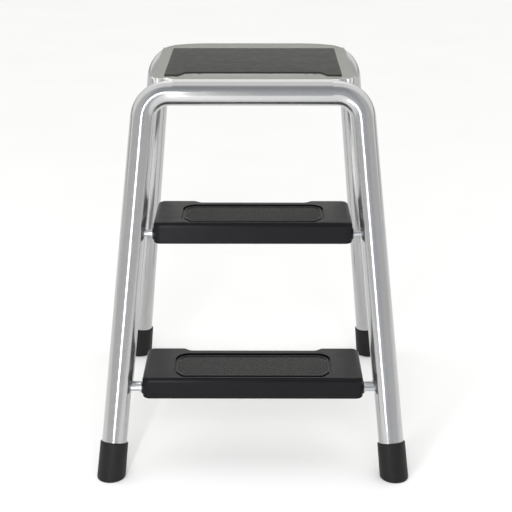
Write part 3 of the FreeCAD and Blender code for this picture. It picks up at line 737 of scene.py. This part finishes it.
class StoolStage(bpy.types.PropertyGroup):
    """Camera and light."""

    lens: FloatProperty(
        name="Lens",
        description="Focal length in mm on a 36 mm sensor",
        default=92.6,
        unit="CAMERA",
    )
    distance: FloatProperty(
        name="Distance",
        description="Camera ahead of the stool's middle",
        default=2.0343,
        unit="LENGTH",
    )
    height: FloatProperty(
        name="Height", description="Camera above the floor", default=0.9659, unit="LENGTH"
    )
    pitch: FloatProperty(
        name="Pitch",
        description="Camera down from level",
        default=math.radians(18.8),
        subtype="ANGLE",
    )
    fill: FloatProperty(
        name="Room light", description="Strength of the room's own light", default=1.55
    )
    wash: FloatProperty(
        name="Floor wash",
        description="Wide softbox behind the camera",
        default=60.0,
        unit="POWER",
    )
    strip: FloatProperty(
        name="Strip",
        description="Narrow softbox at the front left",
        default=3.0,
        unit="POWER",
    )


# --- operators --------------------------------------------------------------


def looks_of(context):
    return context.scene.stool_looks


class STOOL_OT_frames(bpy.types.Operator):
    """Finish both bent-tube frames and the tabs welded to them"""

    bl_idname = "stool.frames"
    bl_label = "Tube frames"

    def execute(self, context):
        for node in ("front_frame_tube", "rear_frame_tube", "front_stay_tabs", "rear_stay_tabs"):
            cover_node(node, looks_of(context))
        return {"FINISHED"}


class STOOL_OT_deck(bpy.types.Operator):
    """Finish the deck's pressed sheet and the channel under it"""

    bl_idname = "stool.deck"
    bl_label = "Deck"

    def execute(self, context):
        for node in ("deck_plate", "deck_stiffener"):
            cover_node(node, looks_of(context))
        return {"FINISHED"}


class STOOL_OT_deck_mat(bpy.types.Operator):
    """Lay the rubber mat on the deck"""

    bl_idname = "stool.deck_mat"
    bl_label = "Deck mat"

    def execute(self, context):
        mesh = mat_mesh(context.scene.stool_detail)
        stand_in("rubber_deck_mat", mesh, "deck_mat", "black_mat", looks_of(context))
        return {"FINISHED"}


class STOOL_OT_feet(bpy.types.Operator):
    """Fit the four rubber ferrules"""

    bl_idname = "stool.feet"
    bl_label = "Feet"

    def execute(self, context):
        for end, lean in (("front", FRONT_LEAN), ("rear", 0.0)):
            for side in ("left", "right"):
                node = f"{end}_foot_{side}"
                mesh = foot_mesh(node, lean)
                name = f"ferrule_{end}_{side}"
                stand_in(name, mesh, node, "black_rubber", looks_of(context))
        return {"FINISHED"}


class STOOL_OT_treads(bpy.types.Operator):
    """Finish the two moulded treads and their bushes"""

    bl_idname = "stool.treads"
    bl_label = "Treads"

    def execute(self, context):
        for which in TREADS:
            cover_node(f"{which}_tread_shell", looks_of(context))
            cover_node(f"{which}_tread_bushes", looks_of(context))
        return {"FINISHED"}


class STOOL_OT_grip_pads(bpy.types.Operator):
    """Let the grip pads into the treads"""

    bl_idname = "stool.grip_pads"
    bl_label = "Grip pads"

    def execute(self, context):
        for which in TREADS:
            mesh = pad_mesh(which, context.scene.stool_detail)
            pad = f"{which}_tread_pad"
            stand_in(f"{which}_grip_pad", mesh, pad, "grip_pad", looks_of(context))
        return {"FINISHED"}


class STOOL_OT_hardware(bpy.types.Operator):
    """Plate the rods, bars, straps, rivets, pins, clips and stays"""

    bl_idname = "stool.hardware"
    bl_label = "Hardware"

    def execute(self, context):
        for part in frame["record"]["subparts"]:
            if part["material_slot"] == "zinc_steel":
                cover_node(part["node"], looks_of(context))
        # The rivets are lacquered with the deck.
        cover_node("strap_rivets", looks_of(context), "silver_sheet")
        return {"FINISHED"}


# --- stage ------------------------------------------------------------------

FLOOR_HALF = 14.0
SENSOR_WIDTH = 36.0
CAMERA_ASIDE, CAMERA_TURN = 0.0104, 0.003
# Softboxes: where each stands, what it faces, and its width and height.
FLOOR_WASH = ((0.0, -3.4, 1.9), (0.0, 0.0, 0.0), (3.0, 1.2))
FRONT_STRIP = ((-0.26, -0.95, 0.5), (0.0, -0.2, 0.35), (0.05, 0.8))


def soft_box(name, place, aim, size, power):
    """Rectangular lamp that faces a point and stays out of the picture."""
    data = bpy.data.lights.new(name, "AREA")
    data.shape = "RECTANGLE"
    data.size, data.size_y = size
    data.energy = power
    lamp = bpy.data.objects.new(name, data)
    bpy.context.scene.collection.objects.link(lamp)
    lamp.location = place
    lamp.rotation_euler = (Vector(aim) - Vector(place)).to_track_quat("-Z", "Y").to_euler()
    lamp.visible_camera = False
    return lamp


BACKDROP = "#fafaf9"
# How far sideways a direction points, where the middle of the room gives way to its sides.
SIDEWAYS_FROM, SIDEWAYS_TO = 0.15, 0.55
# Share of the way from the front horizon over the top to the rear one, and the colour there.
MIDDLE_OF_ROOM = (
    (0.0, "#a9acb1"),
    (0.16, "#96999e"),
    (0.27, "#82868c"),
    (0.37, "#84878b"),
    (0.43, "#d2d2d4"),
    (0.50, "#eaeaeb"),
    (0.56, "#e4e4e4"),
    (0.585, "#a4a4a4"),
    (0.61, "#efefee"),
    (0.70, "#fefefd"),
    (0.80, "#fbfbf9"),
    (0.905, "#e4e4e1"),
    (0.925, "#8c8d87"),
    (1.0, "#8a8b85"),
)
SIDES_OF_ROOM = (
    (0.0, "#b0b0af"),
    (0.40, "#b8b8b7"),
    (0.47, "#e9e9e9"),
    (0.89, "#e4e4e1"),
    (0.92, "#8c8d87"),
    (1.0, "#8a8b85"),
)


def room_light(stage):
    """Studio walls and ceiling, going from the front over the top to the back.

    Ahead of the stool, around the camera, the room is grey-blue and darkest
    high up; its side walls are an even grey; two rows of ceiling panels with
    a gap between them are the brightest, and the back wall is a warmer grey.
    Seen directly, past the edge of the floor, it is a plain pale backdrop.
    """
    world = bpy.data.worlds.new("studio_room")
    bpy.context.scene.world = world
    world.use_nodes = True
    tree = world.node_tree
    tree.nodes.clear()
    direction = add_node(tree, "ShaderNodeTexCoord").outputs["Generated"]
    parts = add_node(tree, "ShaderNodeSeparateXYZ", {"Vector": direction}).outputs
    ahead = add_node(tree, "ShaderNodeMath", {0: parts["Y"], 1: -1.0}, operation="MULTIPLY")
    around = add_node(
        tree, "ShaderNodeMath", {0: parts["Z"], 1: ahead.outputs["Value"]}, operation="ARCTAN2"
    )
    share = add_node(
        tree, "ShaderNodeMath", {0: around.outputs["Value"], 1: math.pi}, operation="DIVIDE"
    ).outputs["Value"]
    sideways = add_node(tree, "ShaderNodeMath", {0: parts["X"]}, operation="ABSOLUTE")
    beside = add_node(
        tree,
        "ShaderNodeMapRange",
        {
            "Value": sideways.outputs["Value"],
            "From Min": SIDEWAYS_FROM,
            "From Max": SIDEWAYS_TO,
        },
        interpolation_type="SMOOTHSTEP",
    )
    room = add_node(
        tree,
        "ShaderNodeMix",
        {
            0: beside.outputs["Result"],
            6: colour_ramp(tree, share, MIDDLE_OF_ROOM),  # A and B, as colours
            7: colour_ramp(tree, share, SIDES_OF_ROOM),
        },
        data_type="RGBA",
    )
    sky = add_node(
        tree, "ShaderNodeBackground", {"Color": room.outputs[2], "Strength": stage.fill}
    )
    plain = add_node(tree, "ShaderNodeBackground", {"Color": linear(BACKDROP), "Strength": 1.0})
    seen = add_node(tree, "ShaderNodeLightPath").outputs["Is Camera Ray"]
    both = add_node(
        tree,
        "ShaderNodeMixShader",
        {0: seen, 1: sky.outputs["Background"], 2: plain.outputs["Background"]},
    )
    add_node(tree, "ShaderNodeOutputWorld", {"Surface": both.outputs["Shader"]})


def add_floor():
    """Wide square of painted floor."""
    half = FLOOR_HALF
    shape = bmesh.new()
    corners = [(-half, -half), (half, -half), (half, half), (-half, half)]
    shape.faces.new([shape.verts.new((x, y, 0)) for x, y in corners])
    mesh = mesh_from(shape, "floor")
    mesh.materials.append(floor_paint())
    floor = bpy.data.objects.new("floor", mesh)
    bpy.context.scene.collection.objects.link(floor)


def add_camera(stage):
    """Camera ahead of the stool, looking down at it."""
    data = bpy.data.cameras.new("camera")
    data.lens = stage.lens
    data.sensor_width = SENSOR_WIDTH
    camera = bpy.data.objects.new("camera", data)
    bpy.context.scene.collection.objects.link(camera)
    camera.location = (CAMERA_ASIDE, -stage.distance, stage.height)
    camera.rotation_euler = (math.pi / 2 - stage.pitch, 0, CAMERA_TURN)
    bpy.context.scene.camera = camera


class STOOL_OT_stage(bpy.types.Operator):
    """Set out the floor, the lights and the camera"""

    bl_idname = "stool.stage"
    bl_label = "Stage"

    def execute(self, context):
        stage = context.scene.stool_stage
        add_floor()
        room_light(stage)
        wash = soft_box("floor_wash", *FLOOR_WASH, stage.wash)
        wash.visible_glossy = False  # lights the floor, and leaves the tubes the room's bands
        soft_box("front_left_strip", *FRONT_STRIP, stage.strip)
        add_camera(stage)
        context.scene.view_settings.view_transform = "Standard"
        return {"FINISHED"}


class STOOL_PT_panel(bpy.types.Panel):
    """Everything the stool is finished with"""

    bl_idname = "STOOL_PT_panel"
    bl_label = "Step stool"
    bl_space_type = "VIEW_3D"
    bl_region_type = "UI"
    bl_category = "Step stool"

    def draw(self, context):
        layout = self.layout
        for group in ("stool_looks", "stool_detail", "stool_stage"):
            settings = getattr(context.scene, group)
            box = layout.box()
            for name in settings.__annotations__:
                box.prop(settings, name)
        for operator in OPERATORS:
            layout.operator(operator.bl_idname)


OPERATORS = (
    STOOL_OT_frames,
    STOOL_OT_deck,
    STOOL_OT_deck_mat,
    STOOL_OT_feet,
    STOOL_OT_treads,
    STOOL_OT_grip_pads,
    STOOL_OT_hardware,
    STOOL_OT_stage,
)
SETTINGS = {"stool_looks": StoolLooks, "stool_detail": StoolDetail, "stool_stage": StoolStage}


def register():
    for cls in (*SETTINGS.values(), *OPERATORS, STOOL_PT_panel):
        bpy.utils.register_class(cls)
    for name, cls in SETTINGS.items():
        setattr(bpy.types.Scene, name, PointerProperty(type=cls))


def unregister():
    for name in SETTINGS:
        delattr(bpy.types.Scene, name)
    for cls in (STOOL_PT_panel, *reversed(OPERATORS), *SETTINGS.values()):
        bpy.utils.unregister_class(cls)


def main():
    """Finishes the stool and sets the stage."""
    register()
    bpy.ops.stool.frames()
    bpy.ops.stool.deck()
    bpy.ops.stool.deck_mat()
    bpy.ops.stool.feet()
    bpy.ops.stool.treads()
    bpy.ops.stool.grip_pads()
    bpy.ops.stool.hardware()
    bpy.ops.stool.stage()


if __name__ == "__main__":
    main()
